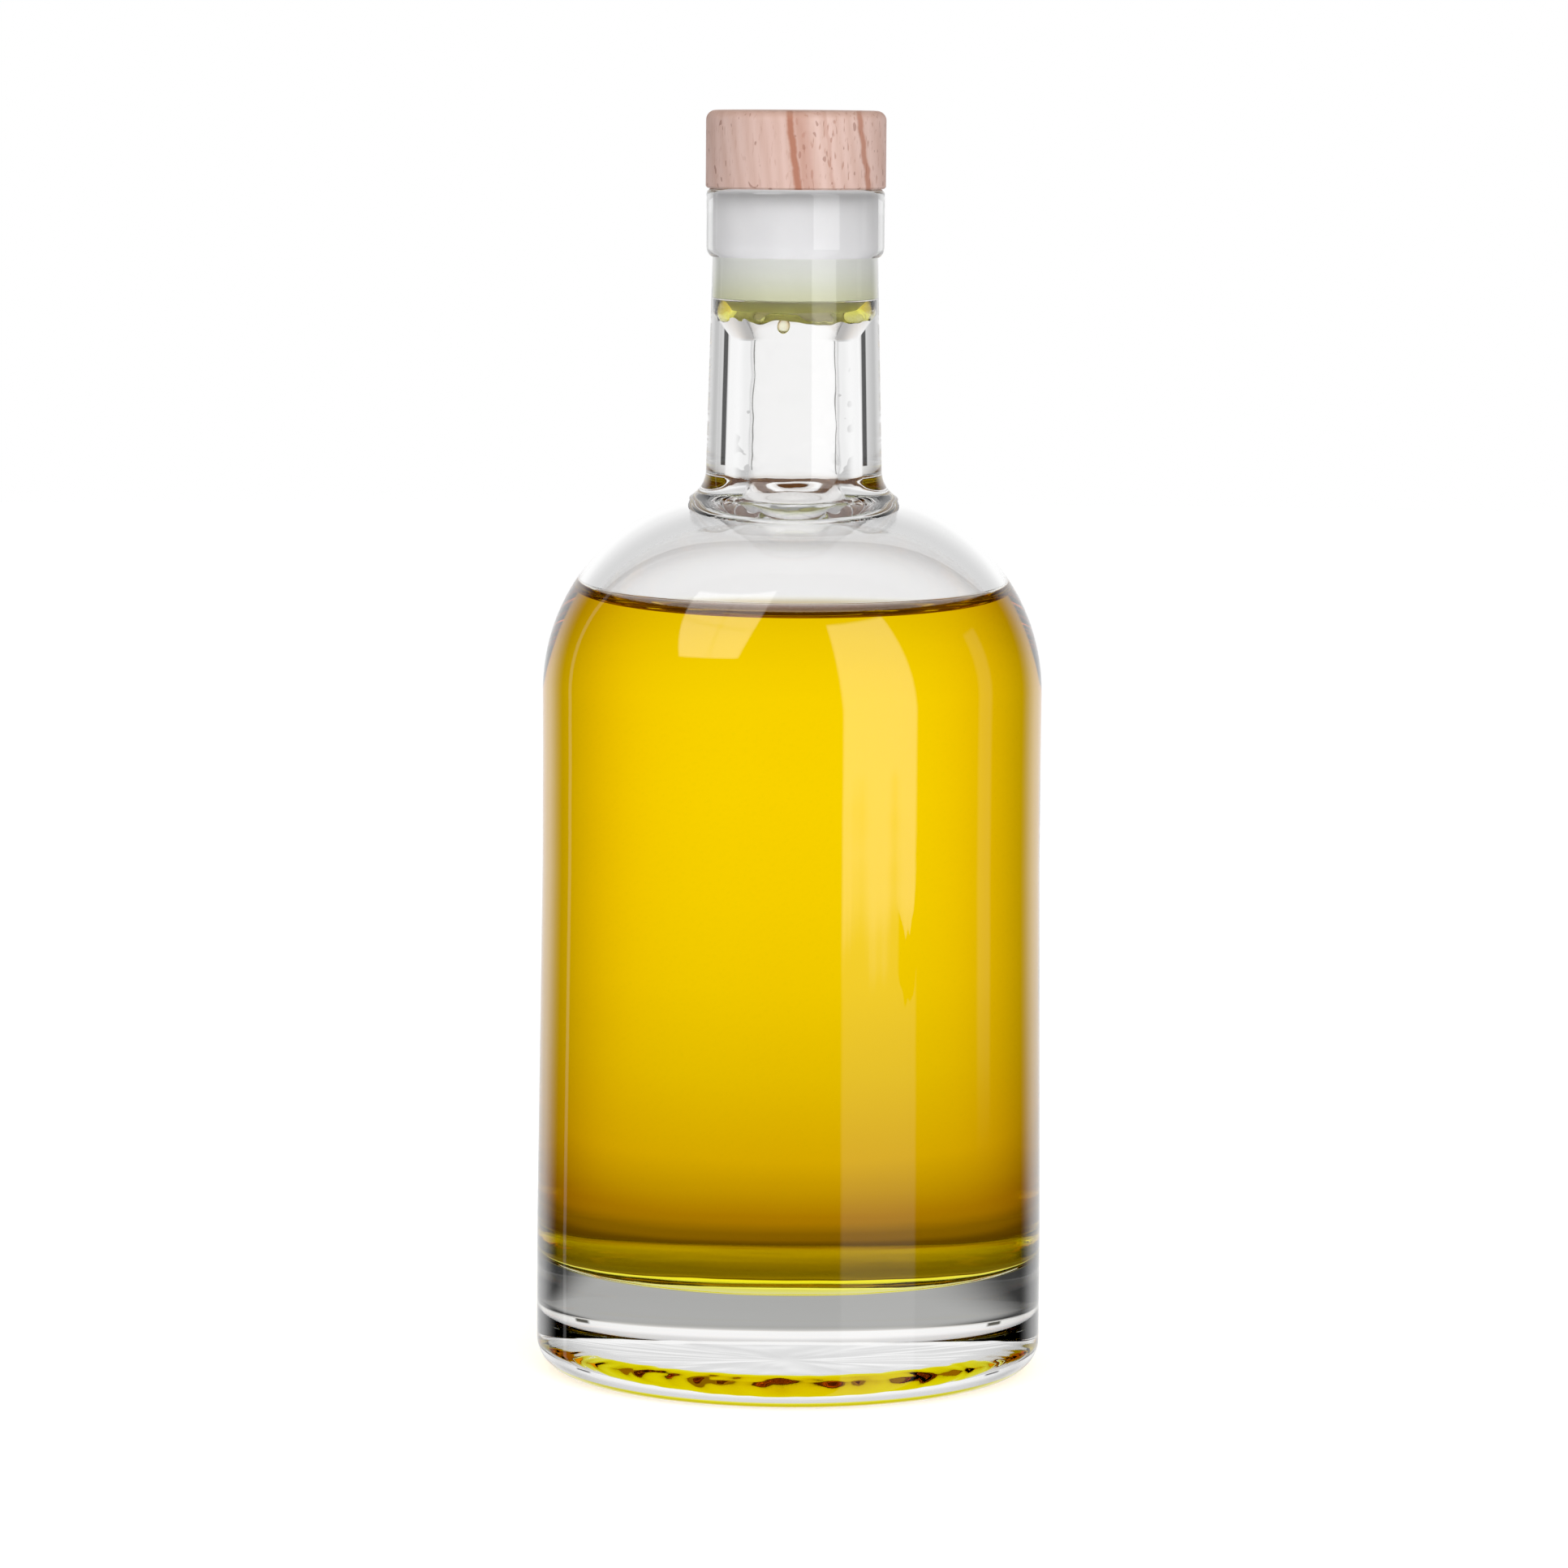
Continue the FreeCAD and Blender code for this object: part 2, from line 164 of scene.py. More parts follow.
def glass_outline():
    """The whole section of the glass, from its underside round to the cavity's floor."""
    heel_foot = HEEL_RADIUS - HEEL_ROUND
    ring = [(PUSH_UP_RADIUS + KNURL_MARGIN, 0.0), (heel_foot - KNURL_MARGIN, 0.0)]
    heel = arc((heel_foot, HEEL_ROUND), HEEL_ROUND, -90, 0, 16)
    side = [(HEEL_RADIUS, HEEL_BAND_TOP), (PANEL_RADIUS, PANEL_LOW), (PANEL_RADIUS, PANEL_TOP)]
    outside = shoulder_and_throat(
        SHOULDER_RADIUS, SHOULDER_LEVEL, DOME_ROUND, NECK_FILLET, NECK_ROOT_RADIUS)
    step = NECK_TOP_RADIUS + BAND_STEP
    band_inner = BAND_RADIUS - BAND_ROUND
    band_rise = math.sqrt(BAND_ROUND ** 2 - (step - band_inner) ** 2)
    band_start = -math.degrees(math.atan2(band_rise, step - band_inner))
    band = ([(NECK_TOP_RADIUS, BAND_BOTTOM)]
            + arc((band_inner, BAND_BOTTOM + band_rise), BAND_ROUND, band_start, 0, 8)
            + arc((BAND_RADIUS - LIP_ROUND, MOUTH_LEVEL - LIP_ROUND), LIP_ROUND, 0, 90, 8))
    mouth = arc((BORE_RADIUS + MOUTH_ROUND, MOUTH_LEVEL - MOUTH_ROUND), MOUTH_ROUND, 90, 180, 8)
    inside = floor_and_wall() + inner_dome()
    neck = run((CHOKE_RADIUS, CHOKE_LEVEL), inside[-1], 44)[:-1]
    return (under_outline() + ring + heel + side + outside + band + mouth
            + [(BORE_RADIUS, BORE_BOTTOM)] + neck + inside[::-1])


def oil_surface(depth=0.0):
    """The oil's surface from the glass to the axis, depth inside it: a wetting liquid's curve."""
    def across(lean):
        return CAPILLARY_LENGTH * (math.log(math.tan(lean / 4)) + 2 * math.cos(lean / 2))

    edge = contact_point(SURFACE_REACH)[0] - across(CONTACT_LEAN)
    steps, last = 40, math.radians(1)
    points = []
    for n in range(steps + 1):
        lean = CONTACT_LEAN + (last - CONTACT_LEAN) * n / steps
        height = OIL_LEVEL + 2 * CAPILLARY_LENGTH * math.sin(lean / 2)
        points.append((edge + across(lean) + depth * math.sin(lean),
                       height - depth * math.cos(lean)))
    return points + [(0.0, OIL_LEVEL - depth)]


def oil_outline():
    """The filling, up to just under its surface."""
    dome = [p for p in inner_dome(OIL_REACH) if p[1] <= CONTACT_LEVEL]
    return floor_and_wall(OIL_REACH) + dome + oil_surface(SURFACE_DEPTH / 2)


def surface_outline():
    """The skin of the filling: its true surface above, and a face inside the filling below."""
    return oil_surface(SURFACE_DEPTH)[::-1] + oil_surface()


def film_outline():
    """The oil caught between the plug's tip and the seat of the mouth, open inside the plug."""
    def seat(level):
        share = (level - CHOKE_LEVEL) / (BORE_BOTTOM - CHOKE_LEVEL)
        return CHOKE_RADIUS + (BORE_RADIUS - CHOKE_RADIUS) * share

    def taper(level):
        share = (level - PLUG_TIP_LEVEL) / (PLUG_STRAIGHT_BOTTOM - PLUG_TIP_LEVEL)
        return PLUG_TIP_RADIUS + (BORE_RADIUS - PLUG_TIP_RADIUS) * share - PLUG_REACH

    wall = BORE_RADIUS + SURFACE_REACH
    low = seat(FILM_LOW)
    dip = (PLUG_TIP_RADIUS + low) / 2
    return [(taper(PLUG_TIP_LEVEL), PLUG_TIP_LEVEL + PLUG_REACH),
            (dip - FILM_DIP / 2, PLUG_TIP_LEVEL - FILM_DIP / 2), (dip, PLUG_TIP_LEVEL - FILM_DIP),
            (low - FILM_EDGE, FILM_LOW + FILM_EDGE), (low + SURFACE_REACH, FILM_LOW),
            (wall, BORE_BOTTOM), (wall, FILM_TOP), (taper(FILM_TOP), FILM_TOP)]


def plug_outline():
    """The plug, straight in the bore and tapered at its tip."""
    side = BORE_RADIUS + PLUG_REACH
    return [(0.0, PLUG_TIP_LEVEL), (PLUG_TIP_RADIUS, PLUG_TIP_LEVEL),
            (side, PLUG_STRAIGHT_BOTTOM), (side, MOUTH_LEVEL), (0.0, MOUTH_LEVEL)]


def head_outline():
    """The wooden disc, with a rounded top edge and a fine bevel below."""
    low, bevel, top = MOUTH_LEVEL, HEAD_LOW_BEVEL, HEAD_TOP_LEVEL
    return ([(0.0, low), (HEAD_RADIUS - bevel, low), (HEAD_RADIUS, low + bevel)]
            + arc((HEAD_RADIUS - HEAD_TOP_ROUND, top - HEAD_TOP_ROUND), HEAD_TOP_ROUND, 0, 90, 12)
            + [(0.0, top)])


# ---------------------------------------------------------------- turning

def turned(name, outline, smooth_angle=35):
    """Draws an outline with extrusions from one point and spins it round the bottle's axis."""
    bpy.ops.object.select_all(action="DESELECT")
    bpy.ops.mesh.primitive_circle_add(vertices=3, radius=0.001, location=(0, 0, 0))
    piece = bpy.context.object
    piece.name = piece.data.name = name
    bpy.ops.object.mode_set(mode="EDIT")
    bpy.ops.mesh.select_all(action="SELECT")
    bpy.ops.mesh.merge(type="CENTER")
    bpy.ops.transform.translate(value=(outline[0][0], 0, outline[0][1]))
    for (r0, z0), (r1, z1) in zip(outline, outline[1:]):
        bpy.ops.mesh.extrude_vertices_move(
            TRANSFORM_OT_translate={"value": (r1 - r0, 0, z1 - z0)})
    bpy.ops.mesh.select_all(action="SELECT")
    bpy.ops.mesh.spin(steps=TURN_STEPS, angle=2 * math.pi, center=(0, 0, 0), axis=(0, 0, 1))
    bpy.ops.mesh.select_all(action="SELECT")
    bpy.ops.mesh.remove_doubles(threshold=2e-6)
    bpy.ops.mesh.normals_make_consistent(inside=False)
    bpy.ops.object.mode_set(mode="OBJECT")
    bpy.ops.object.shade_smooth_by_angle(angle=math.radians(smooth_angle))
    return piece


def knurl(piece, inner, outer):
    """Raises every other short stretch of the flat ring that a turned piece stands on."""
    pitch = 2 * math.pi / TURN_STEPS
    bpy.ops.object.mode_set(mode="EDIT")
    bpy.ops.mesh.select_all(action="DESELECT")
    bpy.ops.object.mode_set(mode="OBJECT")
    for vertex in piece.data.vertices:
        x, y, z = vertex.co
        stretch = round(math.atan2(y, x) / pitch) % 4
        on_ring = abs(z) < 1e-6 and inner < math.hypot(x, y) < outer
        vertex.select = on_ring and stretch in (0, 1)
    bpy.ops.object.mode_set(mode="EDIT")
    bpy.ops.transform.translate(value=(0, 0, KNURL_HEIGHT))
    bpy.ops.object.mode_set(mode="OBJECT")


def ripple(piece, name, share, grain, strength, direction="NORMAL"):
    """Moves a surface a little by soft noise, where share(radius, level) is above 0."""
    group = piece.vertex_groups.new(name=name)
    for vertex in piece.data.vertices:
        x, y, z = vertex.co
        weight = share(math.hypot(x, y), z)
        if weight > 0:
            group.add([vertex.index], min(weight, 1.0), "REPLACE")
    clouds = bpy.data.textures.new(name, "CLOUDS")
    clouds.noise_scale, clouds.noise_depth = grain, 1
    modifier = piece.modifiers.new(name, "DISPLACE")
    modifier.texture, modifier.texture_coords = clouds, "LOCAL"
    modifier.vertex_group, modifier.direction = name, direction
    modifier.strength, modifier.mid_level = strength, 0.5
    bpy.context.view_layer.objects.active = piece
    bpy.ops.object.modifier_apply(modifier=name)
    piece.vertex_groups.remove(piece.vertex_groups[name])


# ---------------------------------------------------------------- wiring

class Wiring:
    """Adds nodes to one tree. A value is a socket to link, or a number or colour to set."""

    def __init__(self, tree):
        self.nodes, self.links = tree.nodes, tree.links

    def feed(self, socket, value):
        """Links a socket into another, or sets a number or colour on it."""
        if isinstance(value, bpy.types.NodeSocket):
            self.links.new(value, socket)
        else:
            socket.default_value = value

    def node(self, kind, *values, **settings):
        """A new node, its first inputs fed in order."""
        new = self.nodes.new(kind)
        for name, value in settings.items():
            setattr(new, name, value)
        for socket, value in zip(new.inputs, values):
            self.feed(socket, value)
        return new

    def math(self, operation, *values):
        """The result of one Math node."""
        return self.node("ShaderNodeMath", *values, operation=operation).outputs[0]

    def times(self, *values):
        """The product of all the values."""
        product = values[0]
        for value in values[1:]:
            product = self.math("MULTIPLY", product, value)
        return product

    def plus(self, *values):
        """The sum of all the values."""
        total = values[0]
        for value in values[1:]:
            total = self.math("ADD", total, value)
        return total

    def ease(self, value, low, high, start=0.0, stop=1.0):
        """A smooth change from start to stop while the value goes from low to high."""
        return self.node("ShaderNodeMapRange", value, low, high, start, stop,
                         interpolation_type="SMOOTHSTEP").outputs[0]

    def between(self, value, low, high, edge):
        """One between low and high, fading to nothing over an edge outside them."""
        return self.times(self.ease(value, low - edge, low),
                          self.ease(value, high, high + edge, 1.0, 0.0))

    def angle(self, kind, *values):
        """An inverse function's angle, in degrees."""
        return self.math("DEGREES", self.math(kind, *values))

    def mix(self, share, a, b, blend="MIX"):
        """Colour a with a share of colour b laid over it."""
        new = self.nodes.new("ShaderNodeMix")
        new.data_type, new.blend_type = "RGBA", blend
        for name, value in (("Factor_Float", share), ("A_Color", a), ("B_Color", b)):
            self.feed(next(s for s in new.inputs if s.identifier == name), value)
        return next(s for s in new.outputs if s.identifier == "Result_Color")

    def ramp(self, value, stops):
        """A colour that follows a value through (position, colour) stops."""
        new = self.node("ShaderNodeValToRGB", value)
        elements = new.color_ramp.elements
        while len(elements) < len(stops):
            elements.new(0.5)
        for element, (position, color) in zip(elements, stops):
            element.position = position
            element.color = (*color, 1)
        return new.outputs[0]


# ---------------------------------------------------------------- materials

def make_slow_waves():
    """A node group: the height of long soft waves on a moulded or turned surface."""
    tree = bpy.data.node_groups.new("slow_waves", "ShaderNodeTree")
    length = tree.interface.new_socket("Length", in_out="INPUT", socket_type="NodeSocketFloat")
    length.default_value = 0.015
    tree.interface.new_socket("Height", in_out="OUTPUT", socket_type="NodeSocketFloat")
    wires = Wiring(tree)
    start, end = wires.node("NodeGroupInput"), wires.node("NodeGroupOutput")
    lumps = wires.node("ShaderNodeTexNoise", wires.node("ShaderNodeTexCoord").outputs["Object"])
    wires.feed(lumps.inputs["Scale"], wires.math("DIVIDE", 1.0, start.outputs["Length"]))
    lumps.inputs["Detail"].default_value = 1.0
    wires.feed(end.inputs["Height"], lumps.outputs["Fac"])
    return tree


def new_material(name):
    """A material with the wiring of its tree and its main shader."""
    material = bpy.data.materials.new(name)
    material.use_nodes = True
    return material, Wiring(material.node_tree), material.node_tree.nodes["Principled BSDF"]


def raise_surface(wires, shader, height, distance, strength=1.0):
    """Bends a shader's normals as a relief does, distance metres deep where height is one."""
    bump = wires.node("ShaderNodeBump")
    bump.inputs["Strength"].default_value = strength
    bump.inputs["Distance"].default_value = distance
    wires.feed(bump.inputs["Height"], height)
    wires.feed(shader.inputs["Normal"], bump.outputs["Normal"])


def wave(wires, shader, length, height):
    """Gives a shader slow waves of a length and height in metres."""
    waves = wires.node("ShaderNodeGroup", node_tree=SLOW_WAVES)
    waves.inputs["Length"].default_value = length
    raise_surface(wires, shader, waves.outputs["Height"], height)


def clear(name, ior, waves=None):
    """A clear material: glass, oil, or at an IOR of 1 nothing that can be seen."""
    material, wires, shader = new_material(name)
    shader.inputs["Base Color"].default_value = (1, 1, 1, 1)
    shader.inputs["Roughness"].default_value = 0.0
    shader.inputs["IOR"].default_value = ior
    shader.inputs["Transmission Weight"].default_value = 1.0
    if waves:
        wave(wires, shader, *waves)
    return material


def golden(name, ior):
    """A clear material that holds oil, which takes the blue out of the light."""
    material = clear(name, ior)
    nodes, links = material.node_tree.nodes, material.node_tree.links
    absorb = nodes.new("ShaderNodeVolumeAbsorption")
    absorb.inputs["Color"].default_value = (1.0, 0.9804, 0.0, 1)
    absorb.inputs["Density"].default_value = 250.0
    links.new(absorb.outputs[0], nodes["Material Output"].inputs["Volume"])
    return material


def split_place(wires):
    """The place on the piece in metres, whole and as x, y and z."""
    place = wires.node("ShaderNodeTexCoord").outputs["Object"]
    return place, wires.node("ShaderNodeSeparateXYZ", place).outputs


def noise(wires, place, scale, detail=2.0, turn=(0, 0, 0)):
    """Noise from 0 to 1, its scale given along each axis in lumps a metre."""
    mapping = wires.node("ShaderNodeMapping", place)
    mapping.inputs["Scale"].default_value = scale
    mapping.inputs["Rotation"].default_value = turn
    new = wires.node("ShaderNodeTexNoise", mapping.outputs[0])
    new.inputs["Scale"].default_value = 1.0
    new.inputs["Detail"].default_value = detail
    return new.outputs["Fac"]


def pale_plastic():
    """Pale plastic, a little cloudy, that looks greenish where it is wet with oil, and greyer at its
    top by painted shade under the wooden head.
    """
    material, wires, shader = new_material("pale_plastic")
    place, (_, _, z) = split_place(wires)
    cloud = noise(wires, place, (180, 180, 90))
    dry = wires.mix(cloud, (0.76, 0.76, 0.78, 1), (0.90, 0.90, 0.92, 1))
    wet = wires.ramp(wires.ease(z, FILM_TOP - 0.0012, BAND_BOTTOM + 0.0002),
                     [(0.0, (0.66, 0.67, 0.42)), (0.45, (0.72, 0.74, 0.60)), (1.0, (0.84, 0.86, 0.82))])
    ragged = wires.plus(z, wires.times(cloud, 0.0004))
    wet_share = wires.ease(ragged, BAND_BOTTOM, BAND_BOTTOM + 0.0008, 1.0, 0.0)
    color = wires.mix(wet_share, dry, wet)
    # Painted shade: the top of the plug, just under the wooden head, is mixed toward grey.
    painted_shade_under_head = wires.ease(z, MOUTH_LEVEL - 0.0035, MOUTH_LEVEL - 0.0005, 1.0, 0.72)
    shaded = wires.mix(painted_shade_under_head, (0.55, 0.55, 0.56, 1), color)
    wires.feed(shader.inputs["Base Color"], shaded)
    shader.inputs["Roughness"].default_value = 0.3
    wave(wires, shader, 0.004, 0.00003)
    return material


# Streaks in the wood: how far from its middle, half width, soft edge and depth of colour.
STREAKS = [(-0.0006, 0.00022, 0.0006, 1.0), (0.0011, 0.0006, 0.0012, 0.45),
           (0.0111, 0.00018, 0.0005, 0.8), (0.0052, 0.0001, 0.0004, 0.3)]
GRAIN_LEAN, RING_WIDTH = 0.126, 0.0021


def beech():
    """Turned beech: near-upright grain, short dark flecks and two reddish streaks."""
    material, wires, shader = new_material("beech")
    place, (x, y, z) = split_place(wires)
    from_middle = wires.plus(z, -(MOUTH_LEVEL + HEAD_TOP_LEVEL) / 2)
    across = wires.plus(x, wires.times(from_middle, GRAIN_LEAN))
    soft = noise(wires, place, (150, 150, 40))
    fine = noise(wires, place, (1500, 1500, 130), 3.0, (0, math.atan(GRAIN_LEAN), 0))
    ring_path = wires.plus(across, wires.times(soft, 0.0035))
    rings = wires.math("SINE", wires.times(ring_path, 2 * math.pi / RING_WIDTH))
    rings = wires.plus(wires.times(rings, 0.5), 0.5)
    flecks = wires.ease(noise(wires, place, (2100, 2100, 520), 1.0, (0, -0.25, 0)), 0.60, 0.72)
    flecks = wires.times(flecks, wires.ease(x, -0.003, 0.004, 0.35, 1.0))
    pores = wires.ease(noise(wires, place, (1100, 1100, 700), 0.0), 0.74, 0.78)

    wander = wires.plus(noise(wires, place, (90, 90, 260), 3.0), -0.5)
    wobble = wires.times(wander, 0.0018)
    streaks = 0.0
    for middle, half, soft_edge, depth in STREAKS:
        off = wires.math("ABSOLUTE", wires.plus(across, wobble, -middle))
        streaks = wires.plus(streaks, wires.ease(off, half, half + soft_edge, depth, 0.0))
    streaks = wires.times(streaks, wires.ease(y, -0.004, 0.002, 1.0, 0.0))

    pale = wires.mix(soft, (0.69, 0.465, 0.405, 1), (0.79, 0.58, 0.515, 1))
    color = wires.mix(wires.times(fine, rings, 0.8), pale, (0.60, 0.375, 0.30, 1))
    color = wires.mix(wires.times(flecks, 0.7), color, (0.50, 0.265, 0.20, 1))
    color = wires.mix(wires.times(pores, 0.6), color, (0.34, 0.16, 0.12, 1))
    color = wires.mix(wires.math("MINIMUM", streaks, 1.0), color, (0.46, 0.195, 0.125, 1))
    rim = wires.ease(z, HEAD_TOP_LEVEL - HEAD_TOP_ROUND, HEAD_TOP_LEVEL - 0.0002, 0.0, 0.45)
    wires.feed(shader.inputs["Base Color"], wires.mix(rim, color, (0.52, 0.30, 0.21, 1)))
    shader.inputs["Roughness"].default_value = 0.62
    relief = wires.plus(fine, wires.times(flecks, -0.8), wires.times(streaks, -0.6))
    raise_surface(wires, shader, relief, 0.00012, 0.6)
    return material


SLOW_WAVES = make_slow_waves()


# ---------------------------------------------------------------- pieces

def place_piece(piece, node=None):
    """Ties a finished piece to the bottle's body and hides the node that it stands for, if there is
    one.
    """
    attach(piece, "root")
    if node:
        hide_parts(node)


def on_cavity(radius, level):
    """True on the inner side of the glass, from the floor up to the throat."""
    centre = (CAVITY_RADIUS - CAVITY_DOME_ROUND, CAVITY_SHOULDER)
    if level < CAVITY_SHOULDER:
        return radius < CAVITY_RADIUS + NEAR
    return math.dist((radius, level), centre) < CAVITY_DOME_ROUND + NEAR


# How the glass and the drips wave: the length and the height of a wave, in metres.
WALL_WAVES, THROAT_WAVES, FLANK_WAVES = (0.011, 0.00016), (0.0035, 0.00009), (0.0038, 0.00026)
WAVES_FADE = 0.004       # the length over which they fade in
DRIP_WAVES = (0.0035, 0.0014)
THROAT_MARGIN = 0.0005   # how much wider than the throat its wavy part may be


def wavy_wall(radius, level):
    """How much the cavity's floor and wall wave, up to well below the oil's surface."""
    if radius > CAVITY_RADIUS + NEAR or level < FLOOR_LEVEL - NEAR:
        return 0
    return (OIL_LEVEL - 2 * WAVES_FADE - level) / WAVES_FADE


def wavy_throat(radius, level):
    """How much the inside of the neck waves, between the dome and the choke."""
    if radius > THROAT_RADIUS + THROAT_MARGIN:
        return 0
    above_dome = level - CAVITY_SHOULDER - CAVITY_DOME_ROUND
    return min(above_dome, CHOKE_LEVEL - level) / WAVES_FADE


def wavy_flank(radius, level):
    """How much the hollow under the base waves, out to the ring."""
    if level > PUSH_UP_HEIGHT + NEAR or radius > PUSH_UP_RADIUS:
        return 0
    return (PUSH_UP_RADIUS - radius) / WAVES_FADE * 2


def make_bottle():
    """The glass, with waves in its moulded inside and a knurled ring that it stands on."""
    bottle = turned("clear_bottle", glass_outline())
    inset = KNURL_MARGIN / 2
    knurl(bottle, PUSH_UP_RADIUS + inset, HEEL_RADIUS - HEEL_ROUND - inset)
    bottle.data.materials.append(clear("clear_glass", GLASS_IOR, (0.016, 0.00002)))
    bottle.data.materials.append(clear("wetted_glass", GLASS_IOR / OIL_IOR))
    for face in bottle.data.polygons:
        x, y, z = face.center
        if FLOOR_LEVEL - NEAR < z < CONTACT_LEVEL and on_cavity(math.hypot(x, y), z):
            face.material_index = 1
    ripple(bottle, "wall_waves", wavy_wall, *WALL_WAVES)
    ripple(bottle, "throat_waves", wavy_throat, *THROAT_WAVES)
    ripple(bottle, "flank_waves", wavy_flank, *FLANK_WAVES)
    place_piece(bottle, "glass_bottle")


def lies_on(points, place):
    """True if a place is at one of the points of an outline."""
    x, y, z = place
    return any(math.dist((math.hypot(x, y), z), point) < NEAR / 20 for point in points)


def make_oil():
    """The filling, and the skin that bends light as the oil's surface does."""
    oil = turned("golden_oil", oil_outline())
    oil.data.materials.append(golden("oil_filling", 1.0))
    place_piece(oil, "oil")

    skin = turned("oil_skin", surface_outline())
    skin.data.materials.append(clear("oil_surface", OIL_IOR))
    skin.data.materials.append(clear("inside_oil", 1.0))
    surface = oil_surface()
    on_surface = [lies_on(surface, vertex.co) for vertex in skin.data.vertices]
    for face in skin.data.polygons:
        face.material_index = 0 if all(on_surface[n] for n in face.vertices) else 1
    place_piece(skin)


def hanging(radius, level):
    """One on the lowest edge of the oil round the plug's tip."""
    return 1 if level < PLUG_TIP_LEVEL - FILM_DIP + NEAR else 0


def make_plug():
    """The plug, the oil that hangs round its tip, and one drop."""
    plug = turned("plastic_plug", plug_outline())
    plug.data.materials.append(pale_plastic())
    place_piece(plug, "stopper_plug")

    film = turned("oil_film", film_outline())
    film.data.materials.append(golden("oil_film", OIL_IOR))
    ripple(film, "drips", hanging, *DRIP_WAVES, "Z")
    place_piece(film)

    bpy.ops.object.select_all(action="DESELECT")
    bpy.ops.mesh.primitive_uv_sphere_add(segments=32, ring_count=16, radius=1, location=(0, 0, 0))
    drop = bpy.context.object
    drop.name = drop.data.name = "oil_drop"
    bpy.ops.object.mode_set(mode="EDIT")
    bpy.ops.mesh.select_all(action="SELECT")
    bpy.ops.transform.resize(value=DROP_HALVES)
    bpy.ops.transform.translate(value=DROP_PLACE)
    bpy.ops.object.mode_set(mode="OBJECT")
    bpy.ops.object.shade_smooth()
    drop.data.materials.append(golden("oil_drop", OIL_IOR))
    place_piece(drop)


def make_head():
    """The wooden disc on the plug."""
    head = turned("beech_head", head_outline())
    head.data.materials.append(beech())
    place_piece(head, "wooden_head")


make_bottle()
make_oil()
make_plug()
make_head()


# ---------------------------------------------------------------- stage

FILL = 0.5
INSIDE_FRONT_LIGHT, INSIDE_SIDE_LIGHT = 3.5, 1.15
FLOOR_RADIUS = 2.2
LAMPS_AIM = (0.0, 0.0, 0.12)

# Directions in the room, in degrees. An azimuth is taken from the camera's side to its right,
# and a bearing from straight behind the bottle to either side. A pair is where a change starts
# and where it ends.
STRIP_LEFT, STRIP_RIGHT, STRIP_TOP = 23.0, 58.6, (42.8, 45.2)
STRIP_LEANS = (0.075, 0.09)
STRIP_FADE, STRIP_LOW_LIGHT, STRIP_LIGHT = (-7.1, -6.3), 0.55, 2.2
STRIP_WAIST, STRIP_WAIST_DEPTH = (-7.15, -6.75), 9.0
WINDOW_LEFT, WINDOW_RIGHT, WINDOW_LOW, WINDOW_TOP = -46.7, -34.4, 26.9, 68.6
WINDOW_LEANS, WINDOW_SLOPES = (0.48, -0.3), (-0.094, -0.2)
WINDOW_UPRIGHT_BAR, WINDOW_CROSS_BAR = (-42.5, -41.0), (39.5, 41.0)
WINDOW_LIGHT, BAR_SHADE = 2.7, -0.5
RIGHT_LINE, RIGHT_LINE_HEIGHTS, RIGHT_LINE_LIGHT = (97, 103), (-7, 22), 0.35
LEFT_LINE, LEFT_LINE_LIGHT = (-125, -123), 0.45
DARK_STRETCH, DARK_STRETCH_SHADE = (41, 45), -0.9

# A ray that has passed this many boundaries between glass, oil and air has come through the oil.
OIL_BOUNDARIES = (4.2, 4.8)


def reflected_only(path, wires):
    """One for a ray that was last reflected, nothing for one that came through glass."""
    return wires.times(path.outputs["Is Glossy Ray"],
                       wires.math("SUBTRACT", 1.0, path.outputs["Is Transmission Ray"]))


def unreflected(path, wires):
    """One for a ray that no surface has reflected on its way."""
    return wires.ease(path.outputs["Glossy Depth"], 0.2, 0.8, 1.0, 0.0)


def tall_strip(wires, azimuth, height, uneven):
    """A tall softbox that fades and narrows unevenly near the floor."""
    low = wires.plus(height, wires.times(uneven, 1.6))
    light = wires.ease(low, *STRIP_FADE, STRIP_LOW_LIGHT, STRIP_LIGHT)
    waist = wires.times(wires.between(low, *STRIP_WAIST, 0.15), STRIP_WAIST_DEPTH)
    past_left = wires.plus(azimuth, wires.times(height, STRIP_LEANS[0]), -STRIP_LEFT)
    past_right = wires.plus(azimuth, wires.times(height, STRIP_LEANS[1]), waist, -STRIP_RIGHT)
    return wires.times(wires.ease(past_left, -1.0, 1.0), wires.ease(past_right, -1.0, 1.0, 1.0, 0.0),
                       wires.ease(height, *STRIP_TOP, 1.0, 0.0), light)


def leaning_window(wires, azimuth, height):
    """A window with one upright and one cross bar."""
    past_left = wires.plus(azimuth, wires.times(height, WINDOW_LEANS[0]), -WINDOW_LEFT)
    past_right = wires.plus(azimuth, wires.times(height, WINDOW_LEANS[1]), -WINDOW_RIGHT)
    past_low = wires.plus(height, wires.times(azimuth, WINDOW_SLOPES[0]), -WINDOW_LOW)
    past_top = wires.plus(height, wires.times(azimuth, WINDOW_SLOPES[1]), -WINDOW_TOP)
    pane = wires.times(wires.ease(past_left, -1.0, 1.0), wires.ease(past_right, -1.0, 1.0, 1.0, 0.0),
                       wires.ease(past_low, -0.8, 0.8), wires.ease(past_top, -1.0, 1.0, 1.0, 0.0))
    bars = wires.plus(wires.between(azimuth, *WINDOW_UPRIGHT_BAR, 0.8),
                      wires.between(height, *WINDOW_CROSS_BAR, 0.8))
    return wires.times(pane, wires.plus(WINDOW_LIGHT, wires.times(bars, BAR_SHADE)))


